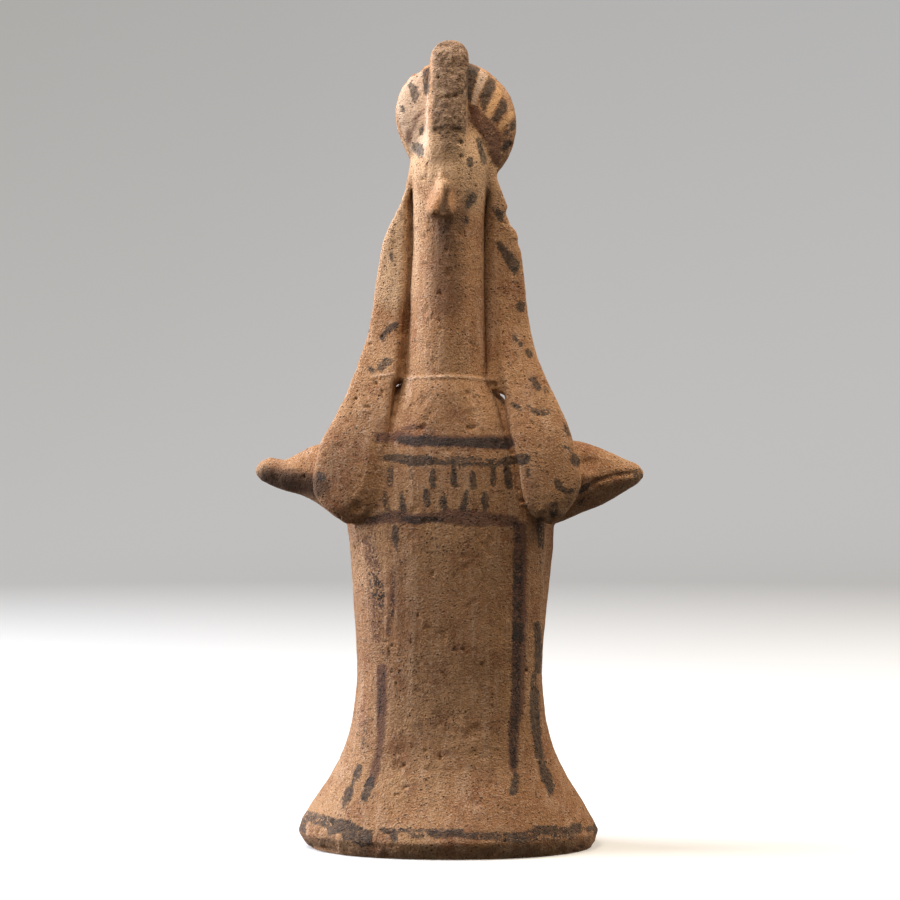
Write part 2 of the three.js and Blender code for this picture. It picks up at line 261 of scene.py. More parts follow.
ARM_HOLLOW = (588, 463)
FINGER_PRESS = (357, 507)
DEEP_PITS = [
    (438, 77, 2.4),
    (545, 383, 2.2),
    (411, 230, 1.6),
    (446, 119, 1.6),
    (462, 143, 1.8),
    (356, 398, 2.4),
    (376, 383, 2.6),
    (393, 414, 2.0),
]
WORN_PATCHES = [
    (440, 722, 17),
    (449, 748, 14),
    (473, 730, 12),
    (462, 200, 12),
    (470, 560, 14),
    (425, 405, 22),
    (376, 590, 18),
    (390, 478, 12),
    (365, 540, 12),
    (512, 235, 13),
]


def crest_face(pixels, normals):
    """How much a point belongs to the crest's broken front, from 0 to 1."""
    across = soft_step(20.5, 15.5, np.abs(pixels[:, 0] - 450.5))
    down = soft_step(135, 127, pixels[:, 1])
    brow = soft_step(13, 6, near_line(pixels, [(450, 130), (450, 141)])) * 0.55
    return np.maximum(across * down, brow) * soft_step(0.2, 0.6, -normals[:, 1])


def melt(points, edges, facing, route, half, passes):
    """Levels the depth of the front along a route, where clay was pressed into clay."""
    weight = soft_step(half, 0.4 * half, near_line(on_photo(points), route)) * (facing > -0.3)
    local = edges[(weight[edges] > 0).any(axis=1)]
    ids, local = np.unique(local, return_inverse=True)
    local = local.reshape(-1, 2)
    ends = np.concatenate([local, local[:, ::-1]])
    count = np.bincount(ends[:, 0])
    depth, weight = points[ids, 1], weight[ids]
    for _ in range(passes):
        mean = np.bincount(ends[:, 0], weights=depth[ends[:, 1]]) / count
        depth = depth + 0.8 * weight * (mean - depth)
    points[ids, 1] = depth
    return points


def model_clay(piece):
    """Works the even mesh as the potter and the ground have: joins, ridges, pits and breaks."""
    mesh = piece.data
    points, edges = mesh_arrays(mesh)
    points = plain_rub(points, edges, 12)
    points = lean_locks_on_neck(points)
    put_back(mesh, points)
    facing = -normals_of(mesh)[:, 1]
    for route, half, passes in MELTED:
        points = melt(points, edges, facing, route, half, passes)
    put_back(mesh, points)
    pixels, normals = on_photo(points), normals_of(mesh)

    # Joins of the head, crest, headdress and locks were smeared over while wet.
    height = points[:, 2]
    join = soft_step(188, 196, height) * soft_step(219, 208, height)
    arm_root = soft_step(9, 3, np.abs(np.abs(points[:, 0]) - 36)) * soft_step(26, 12, np.abs(height - 110))
    smear = np.maximum(0.6 * join, 0.6 * arm_root)
    slits = near_line(pixels, [(413, 187), (412, 240)])
    slits = np.minimum(slits, near_line(pixels, [(484, 186), (486, 240)]))
    smear *= 1 - soft_step(8, 4, slits)
    smear *= 1 - soft_step(18, 10, near_line(pixels, BEAK))
    points = rub(points, edges, 0.5 * smear[:, None], 24)
    put_back(mesh, points)
    pixels, normals = on_photo(points), normals_of(mesh)
    front = soft_step(0.0, 0.35, -normals[:, 1])

    def press(route, depth, half, core=0.3):
        """A groove of this depth in mm along a route, this many pixels to each side."""
        return -depth * front * soft_step(half, core, near_line(pixels, route))

    def dent(x, y, radius, depth):
        return -depth * front * soft_step(radius, 0.2 * radius, np.hypot(*(pixels - (x, y)).T))

    # Unevenness of a hand-built wall, and the long strokes that smoothed it
    push = 0.34 * grain(points, 22, 1) + 0.2 * grain(points, 9, 2) + 0.08 * grain(points, 3.6, 3)
    push += 0.07 * grain(points, (1.7, 2.2, 24), 4)
    push += 0.05 * grain(points, 1.3, 5)

    # The coil that joins neck and collar stands up in a thin ridge.
    push += press(COLLAR_RIDGE, -0.3, 2.8) + press([(x, y + 4) for x, y in COLLAR_RIDGE], 0.06, 3.2)
    push += press(LOCK_RIDGE, -0.25, 2.6)

    # The crest's front is a rough, porous break.
    broken = crest_face(pixels, normals)
    push += broken * (0.24 * grain(points, 2.6, 6) + 0.3 * grain(points, 1.1, 7) - 0.2)
    push += press(CREST_CRACK, 0.28, 1.5) + press(CREST_EDGE_CUT, 0.3, 4)

    # The beak is pinched hollow on its right, under the ridge.
    push += press(BEAK, -1.0, 6, 1) + press(BEAK_SHADE, 0.7, 5, 1)

    # Cracks, scratches and the seams beside the locks and the head
    push += press(BODY_CRACK, 0.25, 1.4) + press(BODY_SCRATCH, 0.25, 1.9)
    push += press(LEFT_SEAM, 0.6, 3.6) + press(RIGHT_SEAM, 0.7, 4) + press(LOCK_END_SEAM, 0.5, 3.4)
    push += press(HEAD_SEAM, 0.4, 3) + press(CHEEK_GROOVE, 0.3, 2.2)
    push += press(ARM_CREASE, 0.6, 4) + dent(*ARM_HOLLOW, 14, 1.5) + dent(*FINGER_PRESS, 8, 0.5)
    for x, y, radius in DEEP_PITS:
        push += dent(x, y, radius, 0.65)
    for x, y, radius in WORN_PATCHES:
        inside = soft_step(radius, 0.4 * radius, np.hypot(*(pixels - (x, y)).T)) * front
        push -= inside * np.clip(0.06 + 0.24 * grain(points, 1.8, 8), -0.05, 1)

    # Scattered burnt-out pits and crumbled spots
    spots = grain(points, 2.1, 9) + 0.5 * grain(points, 1.1, 10)
    crowd = 0.5 + 0.5 * grain(points, 26, 11)
    push -= 0.4 * soft_step(0.94, 1.2, spots + 0.18 * crowd)
    crumbs = grain(points, 4.5, 12) + 0.35 * grain(points, 1.6, 13)
    push -= 0.18 * soft_step(0.7, 0.84, crumbs) * (1 - broken)

    # The foot's lower edge is worn and chipped, and its underside stays flat.
    push -= soft_step(7, 1.5, height) * 0.6 * soft_step(0.25, 0.6, grain(points, 6.5, 14))
    push -= soft_step(4, 0.5, height) * 0.7 * soft_step(-0.1, 0.5, grain(points, 4.2, 17))
    push *= soft_step(-0.97, -0.75, normals[:, 2])
    points = points + normals * push[:, None]

    # Pieces that broke away: the right lock's edge and the headdress's left shoulder
    pixels = on_photo(points)
    for middle, radius, depth in [((514, 218), 15, 1.5), ((516, 209), 8, 0.7), ((517, 244), 8, 0.5)]:
        bite = soft_step(radius, 0.2 * radius, np.hypot(*(pixels - middle).T))
        edge = soft_step(4.5, 9, points[:, 0] - 9)
        points[:, 0] -= bite * edge * depth * (1 + 0.35 * grain(points, 1.6, 15))
    nick = soft_step(6.5, 1, np.hypot(*(pixels - (419, 71)).T))
    points[:, 2] -= nick * (0.7 + 0.3 * grain(points, 1.3, 16))
    points[:, 2] = np.maximum(points[:, 2], 0)
    low, high = (np.array(corner) / MM for corner in cad_box)
    put_back(mesh, np.clip(points, low, high))


def thin_out(piece):
    """Fewer faces: first the plain back gives up three in four, then the whole gives up as many
    as the limit asks, so that the paint in front stays sharp."""
    mesh = piece.data
    behind = normals_of(mesh)[:, 1] > 0.15
    group = piece.vertex_groups.new(name="plain")
    group.add(np.flatnonzero(~behind).tolist(), 0.0, "REPLACE")
    group.add(np.flatnonzero(behind).tolist(), 1.0, "REPLACE")
    apply_modifier(piece, "DECIMATE", ratio=1 - 0.75 * behind.mean(), vertex_group="plain")
    piece.vertex_groups.clear()
    mesh = piece.data
    mesh.calc_loop_triangles()
    if len(mesh.loop_triangles) > FACE_LIMIT:
        apply_modifier(piece, "DECIMATE", ratio=FACE_LIMIT / len(mesh.loop_triangles))


# The painting. A stroke is a brush's route over the photograph's pixels: x, y and half width
# at each point. A patch is an outline. Both say how well the paint has held, from 0 to 1.


def stroke(paint, hold, *route):
    return paint, hold, route, False


def patch(paint, hold, *corners):
    return paint, hold, corners, True


headdress_right = [
    patch("black", 1.0, (470, 62), (479.5, 68), (477.5, 77), (473, 90), (470, 101), (466, 97), (466, 70)),
    patch("black", 1.0, (488.5, 76), (496.5, 81), (495, 89), (488, 104), (484.5, 113), (478, 104),
          (484, 85)),
    patch("black", 0.98, (502.5, 98), (507.5, 100), (506, 112), (496, 124.5), (491, 119), (495, 111.5)),
    patch("black", 0.85, (514, 118), (516.5, 122), (515, 128), (504, 136), (502.5, 132), (508, 128)),
    patch("black", 0.75, (502.5, 142), (510, 139.5), (511.5, 145), (506, 151), (501, 150)),
    patch("cream", 0.95, (480, 70), (488.5, 75), (484.5, 84), (478, 95), (475, 105), (471, 106), (474, 90)),
    patch("ochre", 1.0, (497, 86), (502.5, 91), (498.5, 101.5), (490, 118), (484, 115.5), (492, 98)),
    patch("ochre", 1.0, (509, 111.5), (514, 111.5), (513, 118), (500.5, 131), (497, 126), (502.5, 120.5)),
    patch("purple", 0.72, (469, 106), (477, 105), (482, 113), (490, 119.5), (497.5, 129.5), (502.5, 137),
          (502.5, 145), (500, 152.5), (502.5, 157.5), (498.5, 165), (495, 166.5), (489.5, 156), (487, 145),
          (481, 134.5), (474.5, 128), (469, 119)),
    patch("purple", 0.5, (502, 134), (512, 136), (510, 150), (503, 160), (499, 164), (501, 150)),
]

headdress_left = [
    patch("cream", 0.92, (424, 70), (410, 78), (400, 92), (397, 108), (400, 125), (406, 140), (412, 152),
          (424, 158), (428, 140), (428, 96)),
    patch("black", 0.85, (422, 71), (430, 67), (429, 96), (424.5, 94), (422, 83.5)),
    patch("black", 0.9, (408, 85), (410.5, 82), (417, 86), (418.5, 94), (417, 105.5), (412, 101.5)),
    patch("black", 0.75, (400, 104), (403.5, 105), (405.5, 111.5), (404, 114), (401, 111.5)),
    patch("purple", 0.85, (423.5, 108), (422, 114), (417, 119.5), (412, 122), (414.5, 116.5),
          (419.5, 111.5)),
    stroke("purple", 0.7, (416, 121, 1.8), (413, 130, 1.6)),
    patch("purple", 0.75, (406, 129.5), (412, 131), (412.5, 138.5), (409, 145), (405.5, 139.5)),
    patch("black", 0.75, (419.5, 128), (423.5, 125.5), (424, 134.5), (419.5, 136)),
    patch("cream", 0.9, (416.5, 83), (422, 84), (426, 96), (423, 103), (419, 97)),
    patch("black", 0.8, (413, 143.5), (418.5, 142), (424, 146), (424, 155), (418.5, 157.5), (412, 148)),
]

face = [
    # Painted shade: a soft black stroke under the crest's broken lower edge
    stroke("black", 0.42, (439, 133, 2.5), (450, 135, 3), (457, 134, 2)),
    patch("black", 0.9, (476.5, 138.5), (481, 138.5), (482, 145), (486, 155), (486, 164), (482, 165),
          (478, 150)),
    patch("black", 1.0, (466.5, 160), (469.5, 156), (472.5, 157.5), (473, 165), (470.5, 168.5),
          (467.5, 165)),
    patch("black", 0.62, (468, 195), (473, 192), (478, 196), (477, 203), (469, 209), (464, 208)),
    # Worn black paint with painted shade under the jaw
    patch("black", 0.5, (461, 217), (469, 215), (471, 222), (463, 226)),
    stroke("purple", 0.4, (458, 205, 4), (466, 222, 4)),
]

left_lock = [
    patch("black", 0.95, (380, 333), (388, 325), (393.5, 322), (398, 322), (398, 327.5), (388, 333),
          (385.5, 338.5), (382, 342), (379.5, 338.5)),
    patch("black", 0.72, (377, 370.5), (378, 365), (385.5, 357.5), (392, 359), (391, 362.5), (381, 372)),
    stroke("black", 0.7, (370, 368.5, 2.4), (372, 370.5, 2.6)),
    stroke("black", 0.8, (318, 474, 3), (322, 477, 4.4)),
    stroke("black", 0.6, (391, 254, 2.6), (391, 259, 2.4)),
    stroke("black", 0.4, (398, 237, 2), (401, 240, 2)),
    patch("purple", 0.85, (374, 433), (388, 432), (392, 438), (388, 443), (375, 442)),
]

right_lock = [
    patch("black", 0.95, (491.5, 207.5), (498.5, 207.5), (504, 211.5), (503, 221.5), (500, 223),
          (495, 215.5)),
    patch("black", 0.75, (496, 243), (500, 241.5), (511.5, 253), (520.5, 263), (519, 269.5), (515.5, 276),
          (512.5, 274.5), (505, 261.5), (500, 253)),
    patch("black", 0.9, (515.5, 307), (520, 300.5), (525.5, 302), (525, 309.5), (520.5, 313), (517, 311)),
    stroke("black", 0.4, (500, 288, 3), (504, 288, 3)),
    stroke("black", 0.8, (513.5, 336, 2.5), (514.5, 339, 2.5)),
    stroke("black", 0.8, (519, 341.5, 2.2), (521, 344, 2.2)),
    stroke("black", 0.7, (528, 351, 2.8), (530, 355, 3)),
    patch("black", 0.95, (528, 378), (535, 375.5), (537.5, 381.5), (542, 385), (539, 391), (534, 387.5)),
    stroke("black", 0.55, (545, 389, 2.4), (547, 393, 2.4)),
    stroke("black", 0.6, (513, 404, 2.8), (520, 408, 3)),
    stroke("black", 0.6, (528, 407, 2.4), (536, 412, 3.4), (544, 413, 3.8), (550, 411, 2.6)),
    patch("black", 0.7, (563, 423), (566.5, 425), (570.5, 435), (568.5, 436.5), (565, 431)),
    patch("black", 1.0, (517, 454.5), (523.5, 453.5), (529.5, 454.5), (530.5, 460.5), (526.5, 465),
          (520, 465), (517, 461)),
    patch("black", 0.75, (526, 466), (529.5, 468), (530.5, 473), (529, 478), (526.5, 476)),
    stroke("black", 0.85, (557, 446.5, 1.2), (561, 446, 2), (566, 447, 1.6), (571.5, 451, 1.8)),
    patch("black", 0.95, (571, 454), (575.5, 453), (580, 460.5), (579.5, 466), (575.5, 466), (570.5, 462)),
    patch("black", 0.95, (555, 478), (560, 480), (561.5, 485), (566.5, 488), (575.5, 489.5), (575, 493.5),
          (567, 494), (560, 491.5), (555, 487), (553, 483)),
    stroke("black", 0.9, (578, 492, 2.2), (582, 489, 2.6), (586, 486.5, 3.4)),
    patch("black", 0.6, (550, 502.5), (555, 500.5), (559, 502.5), (558, 515.5), (552, 519), (548, 512.5)),
    stroke("black", 0.6, (583.5, 498, 2.2), (580, 503.5, 2.4)),
    stroke("black", 0.7, (635, 475, 2.2), (641, 474.5, 3)),
]

collar_bands = [
    stroke("purple", 0.8, (398, 430.5, 1.4), (406, 427.5, 1.8), (417, 427, 1.8), (427, 428, 1.6),
           (435, 429.5, 1.2)),
    stroke("purple", 0.9, (394, 437, 5), (402, 436, 5.5), (412, 438, 4)),
    stroke("purple", 0.9, (404, 440, 6), (440, 441, 6), (462, 441.5, 6), (485, 442, 7), (508, 443, 7)),
    stroke("black", 0.74, (400, 439.5, 3.6), (412, 441.5, 5.2), (425, 440.5, 5.4), (440, 441.5, 4.4),
           (452, 442.2, 3.6), (465, 442.2, 4.4), (478, 443, 5.2), (492, 442.5, 5.2), (508, 443.5, 5)),
    stroke("black", 0.74, (386, 457.5, 3.2), (398, 458, 4.2), (410, 460.5, 5.8), (424, 460.2, 5.6),
           (436, 461.5, 3.6)),
    stroke("black", 0.95, (436, 461.5, 3), (446, 462.5, 2.4), (453, 461, 3.2), (462, 463.2, 2.8),
           (475, 463.6, 2.5), (490, 465, 2.2), (500, 462, 3), (510, 460.2, 4.4), (517, 459.5, 4.2)),
    stroke("black", 0.85, (446, 457.8, 1.3), (470, 458.4, 1.2), (484, 459.8, 1.2), (504, 459.5, 1.3)),
]

# A painted highlight: cream along the crest of the ridge where the neck was set on the collar, and its
# start on the lock
collar_ridge_highlight = [
    stroke("cream", 0.5, (401, 380.5, 1.2), (415, 377.5, 1.3), (447, 376, 1.2), (478, 377.5, 1),
           (492, 380, 0.8)),
    stroke("cream", 0.5, (371, 376.5, 1.2), (383, 374.5, 1.2), (394, 374, 1)),
]

dashes_upper = [
    stroke("black", 0.6, (391, 467, 2.6), (390, 476, 3.6), (390, 485, 3)),
    stroke("black", 0.36, (411, 471, 2.6), (410.5, 487, 3)),
    stroke("black", 0.95, (432.3, 470, 1.8), (432, 479, 4), (433, 486, 3)),
    stroke("black", 0.95, (454.5, 466, 2), (453.5, 476, 3.6), (454.5, 485, 3)),
    stroke("black", 0.85, (473, 471, 2), (472.7, 479, 3.2), (473.5, 486.5, 2.8)),
    stroke("black", 0.8, (493.5, 468, 2.4), (493, 478, 2.5), (493, 486, 2.2)),
    stroke("black", 1.0, (507, 467, 3.6), (508, 478, 4.4), (509, 486, 3.6)),
]

dashes_lower = [
    stroke("black", 0.6, (384.5, 491, 2.2), (385, 501, 3.5), (388, 510, 3)),
    stroke("black", 0.7, (402, 491, 1.6), (401.5, 500, 2.6), (404, 509.5, 4)),
    stroke("black", 0.8, (426, 491, 2.6), (426.5, 498, 3.5), (428, 505, 2.6)),
    stroke("black", 0.98, (443, 492, 2), (443.3, 499, 3.7), (443.8, 507, 3)),
    stroke("black", 0.98, (466.5, 491.5, 1.8), (465.5, 499, 3.8), (464, 507, 3.6)),
    stroke("black", 0.98, (485, 493, 2.6), (484.5, 501, 3.6), (485.5, 508, 3)),
    stroke("purple", 0.4, (500, 498, 2), (502, 508, 2)),
]

waist_band = [
    stroke("purple", 1.0, (368, 521, 4), (385, 518, 6), (400, 517, 6.5), (415, 519.5, 5.5), (430, 518.5, 5),
           (445, 516, 6.5), (457, 517, 7.5), (470, 518, 8), (490, 519, 7), (505, 521, 6), (514, 522, 6)),
    stroke("black", 0.6, (402, 518, 3), (410, 520, 4.4), (421, 520, 3.6), (432, 519, 3), (445, 520, 2.6)),
    stroke("black", 0.5, (368, 521, 4), (384, 516, 5), (398, 513, 3.4)),
    stroke("black", 0.34, (445, 519, 4), (465, 515, 4), (484, 516, 4), (510, 522, 4)),
]

# The dress's long stripes, from the viewer's right to the left
stripes = [
    stroke("purple", 0.9, (521, 528, 5.5), (520, 560, 7), (519.5, 620, 7), (518.5, 700, 6.5),
           (514.5, 722, 6),
           (513, 745, 5), (513.5, 770, 4.5)),
    stroke("black", 0.5, (516, 524, 3.6), (517, 541, 5), (518, 555, 6), (517.5, 620, 5.6)),
    stroke("black", 0.85, (518, 625, 5.8), (518, 637, 5.8)),
    stroke("black", 0.55, (516.5, 646, 4.4), (516.5, 665, 4.8), (515.5, 705, 4.8), (514, 725, 4.4),
           (513, 745, 3.6), (513.5, 766, 3.4)),
    stroke("black", 1.0, (516.5, 773, 2.4), (514.5, 782, 4), (513.5, 791, 4.4)),
    stroke("black", 0.62, (540.5, 520, 4), (541, 545, 3.6)),
    stroke("black", 0.4, (541, 545, 2.6), (541, 572, 2.4)),
    stroke("black", 0.85, (537, 624, 3.2), (538.5, 650, 3.8), (537.5, 671, 3.4)),
    stroke("black", 0.6, (534, 674, 2.8), (533.5, 690, 3.6)),
    stroke("black", 0.95, (534.5, 692, 4.8), (534.5, 712, 5), (537, 735, 4.4), (539.5, 756, 4.2)),
    stroke("black", 0.6, (541, 757, 3.6), (543, 766, 4)),
    stroke("black", 1.0, (543, 768, 4), (546.5, 778, 6.4), (549.5, 786, 4.8), (550.5, 794, 2.2)),
    stroke("black", 0.8, (395, 528, 3.8), (395.5, 542, 3), (396.5, 549, 1.6)),
    stroke("purple", 0.55, (393.5, 568, 2.4), (393, 585, 3), (391.5, 612, 3.2), (388, 632, 3)),
    stroke("black", 0.5, (393, 582, 1.8), (391.5, 615, 2)),
    stroke("purple", 0.5, (368, 540, 5), (374, 575, 8), (378, 605, 7), (376, 640, 4)),
    stroke("black", 0.5, (371, 574, 3), (377, 588, 7), (381, 604, 4)),
    stroke("black", 0.42, (379, 650, 2.6), (388, 656, 2.4)),
    stroke("purple", 0.95, (382, 668, 5), (381.5, 700, 5.4), (381, 715, 5), (381, 735, 3.6),
           (379, 752, 3.2),
           (375, 768, 4.8), (371, 782, 4.2)),
    stroke("black", 0.45, (382, 672, 3.6), (381, 712, 4)),
    stroke("black", 0.9, (371, 779, 3.4), (367.5, 789, 4.4), (364.5, 799, 4)),
    stroke("black", 0.42, (365, 722, 2.6), (363, 748, 2.6)),
    stroke("black", 0.85, (359, 767, 3.2), (356.5, 776, 3.6)),
    stroke("black", 0.8, (354, 778, 1.6), (352, 787, 1.8)),
    stroke("black", 0.95, (350, 790, 4.2), (346.5, 798, 4.6), (344, 804, 2.8)),
    stroke("black", 0.35, (343, 812, 2), (348, 813, 2)),
]

foot_band = [
    patch("black", 0.62, (305, 812), (308.5, 810.5), (321, 814.5), (337, 817.5), (337, 832),
          (327, 829), (303, 820)),
    patch("black", 0.92, (325, 816), (337, 817.5), (349, 820.5), (365.5, 829), (374, 831), (372, 845),
          (361, 847),
          (351, 841), (343, 842), (341, 833), (329, 835)),
    patch("black", 0.9, (380, 828), (398, 830), (397, 841), (392, 842), (388, 835), (380, 831)),
    stroke("black", 0.9, (380, 829, 1.3), (420, 830, 1.3), (463, 830.5, 1.3)),
    stroke("black", 0.55, (411, 835, 3.6), (420, 835, 4.4)),
    patch("black", 1.0, (427, 830), (463.5, 830), (463.5, 835), (451, 838), (435, 839), (429, 835)),
    stroke("black", 0.66, (440, 834, 3), (470, 835.5, 3.8), (496, 836, 4)),
    stroke("black", 0.62, (496, 836, 4.4), (520, 838, 6), (536, 835, 6), (572, 831, 5)),
    patch("black", 0.98, (533, 826), (557, 825.5), (558, 832), (548, 836), (535, 835)),
    patch("black", 0.92, (571.5, 824), (580, 823), (584, 828), (580, 833), (570, 834)),
    stroke("black", 0.6, (588, 829, 3.4), (597, 828, 3)),
    stroke("black", 0.5, (540, 838, 4), (575, 836, 4)),
]

# Clay that is coloured paler or darker: which, how much, half width, route. The paler clay is painted
# light, on the face, the right cheek, the left lock and the right lock's top. The darker clay is painted
# shade on the left arm's front, the neck's middle and the left lock's lower part, and on the right cheek a
# real dark smudge with painted shade under the jaw.
SHADES = [
    ("pale", 1.0, 44, [(430, 156), (446, 162), (466, 156)]),
    ("pale", 0.8, 30, [(470, 160), (476, 190)]),
    ("pale", 1.0, 28, [(404, 205), (398, 260), (394, 290)]),
    ("pale", 0.6, 12, [(489, 190), (494, 205)]),
    ("smudge_and_painted_shade", 1.0, 17, [(268, 477), (290, 481), (318, 486)]),
    ("smudge_and_painted_shade", 0.6, 9, [(470, 195), (462, 212), (460, 224)]),
    ("smudge_and_painted_shade", 0.45, 26, [(446, 240), (446, 300)]),
    ("smudge_and_painted_shade", 0.3, 20, [(330, 470), (372, 420)]),
]
# Painted shade in the beak's hollow right flank: how dark, and its outline in pixels
BEAK_HOLLOW_SHADE = 0.9
BEAK_HOLLOW = [(444, 181), (447, 190), (450, 205), (452, 213), (444, 215), (436, 213), (441, 200)]

PAINTING = (
    headdress_right + headdress_left + face + left_lock + right_lock + collar_bands + collar_ridge_highlight
    + dashes_upper + dashes_lower + waist_band + stripes + foot_band
)
UNPAINTED = -6.0  # mm outside any stroke
FIELD_MARGIN = 12  # pixels around a stroke within which its distance is worked out


def depth_inside(pixels, route, closed):
    """How far inside a stroke or patch each point is, in pixels, and below 0 outside."""
    if not closed:
        best = np.full(len(pixels), -np.inf)
        for (x0, y0, half0), (x1, y1, half1) in zip(route[:-1], route[1:]):
            along = np.array([x1 - x0, y1 - y0])
            away = pixels - (x0, y0)
            t = np.clip(away @ along / max(along @ along, 1e-9), 0, 1)
            distance = np.linalg.norm(away - t[:, None] * along, axis=1)
            best = np.maximum(best, half0 + (half1 - half0) * t - distance)
        return best
    inside = np.zeros(len(pixels), dtype=bool)
    for (x0, y0), (x1, y1) in zip(route, route[1:] + route[:1]):
        crosses = (y0 > pixels[:, 1]) != (y1 > pixels[:, 1])
        reach = x0 + (pixels[:, 1] - y0) * (x1 - x0) / (y1 - y0 if y1 != y0 else 1e-9)
        inside ^= crosses & (pixels[:, 0] < reach)
    distance = near_line(pixels, route + route[:1])
    return np.where(inside, distance, -distance)


def paint_fields(pixels, front):
    """For each paint, every point's depth inside its strokes in mm and how well it has held."""
    fields = {}
    for paint, kept, route, closed in PAINTING:
        if paint not in fields:
            fields[paint] = [np.full(len(pixels), UNPAINTED), np.zeros(len(pixels))]
        depth, hold = fields[paint]
        spots = np.array([spot[:2] for spot in route], dtype=float)
        low, high = spots.min(axis=0) - FIELD_MARGIN, spots.max(axis=0) + FIELD_MARGIN
        near = np.flatnonzero(front & np.all((pixels > low) & (pixels < high), axis=1))
        inside = depth_inside(pixels[near], tuple(route), closed) * MM_PER_PIXEL
        better = near[inside > depth[near]]
        depth[better] = inside[inside > depth[near]]
        hold[better] = kept
    return fields


# Behind: a ring round the foot, two long stripes, a band at the shoulders and six short
# strokes on the headdress, in mm
RING_HEIGHT = 6.2
RING_HALF = 2.1
BACK_HALF = 1.5
BACK_STRIPES = [(-15.0, 14, 96), (15.5, 14, 94)]
SHOULDER_BAND_HEIGHT = 98.0
HEADDRESS_MIDDLE = (2.0, 203.0)


def back_strokes(points, normals):
    x, z = points[:, 0], points[:, 2]
    depth = np.full(len(points), UNPAINTED)
    for middle, low, high in BACK_STRIPES:
        sway = 1.2 * np.sin(z / 17 + middle)
        beyond = np.maximum(np.maximum(low - z, z - high), 0)
        depth = np.maximum(depth, BACK_HALF - np.hypot(x - middle - sway, beyond))
    band = BACK_HALF - np.abs(z - SHOULDER_BAND_HEIGHT - 0.8 * np.sin(x / 6))
    depth = np.maximum(depth, band)
    for tilt in (-62, -38, -13, 12, 37, 61):
        lean = math.radians(tilt)
        across = (x - HEADDRESS_MIDDLE[0]) * math.cos(lean) - (z - HEADDRESS_MIDDLE[1]) * math.sin(lean)
        along = (x - HEADDRESS_MIDDLE[0]) * math.sin(lean) + (z - HEADDRESS_MIDDLE[1]) * math.cos(lean)
        beyond = np.maximum(np.maximum(10 - along, along - 22), 0)
        depth = np.maximum(depth, BACK_HALF - np.hypot(across, beyond))
    return np.where(normals[:, 1] > 0.25, depth, UNPAINTED)


def foot_ring(points, pixels, normals):
    wave = 0.5 * np.sin(points[:, 0] / 9.0 + 1) + 0.9 * grain(points, 7, 31)
    depth = RING_HALF - np.abs(points[:, 2] - RING_HEIGHT - wave)
    shows_in_front = (normals[:, 1] < 0.0) & (pixels[:, 0] > 306) & (pixels[:, 0] < 594)
    return np.where(shows_in_front, UNPAINTED, depth)


def lay_paint(piece):
    """Writes the paint onto the clay, as how far inside a stroke each point is."""
    mesh = piece.data
    points, _ = mesh_arrays(mesh)
    pixels, normals = on_photo(points), normals_of(mesh)
    fields = paint_fields(pixels, normals[:, 1] < 0.05)
    black, black_hold = fields["black"]
    for extra, kept in [(foot_ring(points, pixels, normals), 0.72), (back_strokes(points, normals), 0.6)]:
        black_hold[extra > black] = kept
        black[:] = np.maximum(black, extra)
    front = soft_step(0.1, -0.3, normals[:, 1])
    bare = np.zeros(len(points))
    layers = {"broken": crest_face(pixels, normals), "pale": bare, "smudge_and_painted_shade": bare}
    # The paler clay is painted light. The darker clay is painted shade, with one real dark smudge on the
    # right cheek.
    for name, strength, half, route in SHADES:
        shade = strength * front * soft_step(half, 0.3 * half, near_line(pixels, route))
        layers[name] = np.maximum(layers[name], shade)
    # Painted shade in the beak's hollow right flank, added to the darker clay
    hollow = depth_inside(pixels, BEAK_HOLLOW, True) * MM_PER_PIXEL
    layers["smudge_and_painted_shade"] = np.maximum(layers["smudge_and_painted_shade"], BEAK_HOLLOW_SHADE * front * soft_step(-0.4, 0.9, hollow))
    for paint, (depth, hold) in fields.items():
        layers[paint + "_depth"] = depth
        layers[paint + "_hold"] = hold
    for name, values in layers.items():
        layer = mesh.attributes.new(name, "FLOAT", "POINT")
        layer.data.foreach_set("value", np.clip(values, -3, 3).astype(np.float32))


# Materials


def linear(hex_colour):
    """An sRGB hex colour as linear red, green, blue and alpha."""
    parts = [int(hex_colour[i : i + 2], 16) / 255 for i in (1, 3, 5)]
    return [c / 12.92 if c <= 0.04045 else ((c + 0.055) / 1.055) ** 2.4 for c in parts] + [1.0]


def add(tree, kind, settings=None, **links):
    """Adds a node. Settings set its properties or sockets, links join its inputs to outputs."""
    node = tree.nodes.new(kind)
    for name, value in (settings or {}).items():
        if name in node.inputs:
            node.inputs[name].default_value = value
        elif name.isdigit():
            node.inputs[int(name)].default_value = value
        else:
            setattr(node, name, value)
    for name, source in links.items():
        key = int(name[1:]) if name[0] == "i" and name[1:].isdigit() else name.replace("_", " ")
        tree.links.new(source, node.inputs[key])
    return node


def new_material(name):
    material = bpy.data.materials.new(name)
    material.use_nodes = True
    tree = material.node_tree
    tree.nodes.clear()
    return material, tree


# Sizes in the clay, in mm. Grit and small pores are drawn about twice as coarse, to show at all.
GRIT = 0.5
LUMP = 1.3
PORE = 1.6
SMALL_PORE = 0.95
FLAKE = 0.75
CLOUD = 34.0
BLOTCH = 9.0
WIPE_LENGTH = 30.0


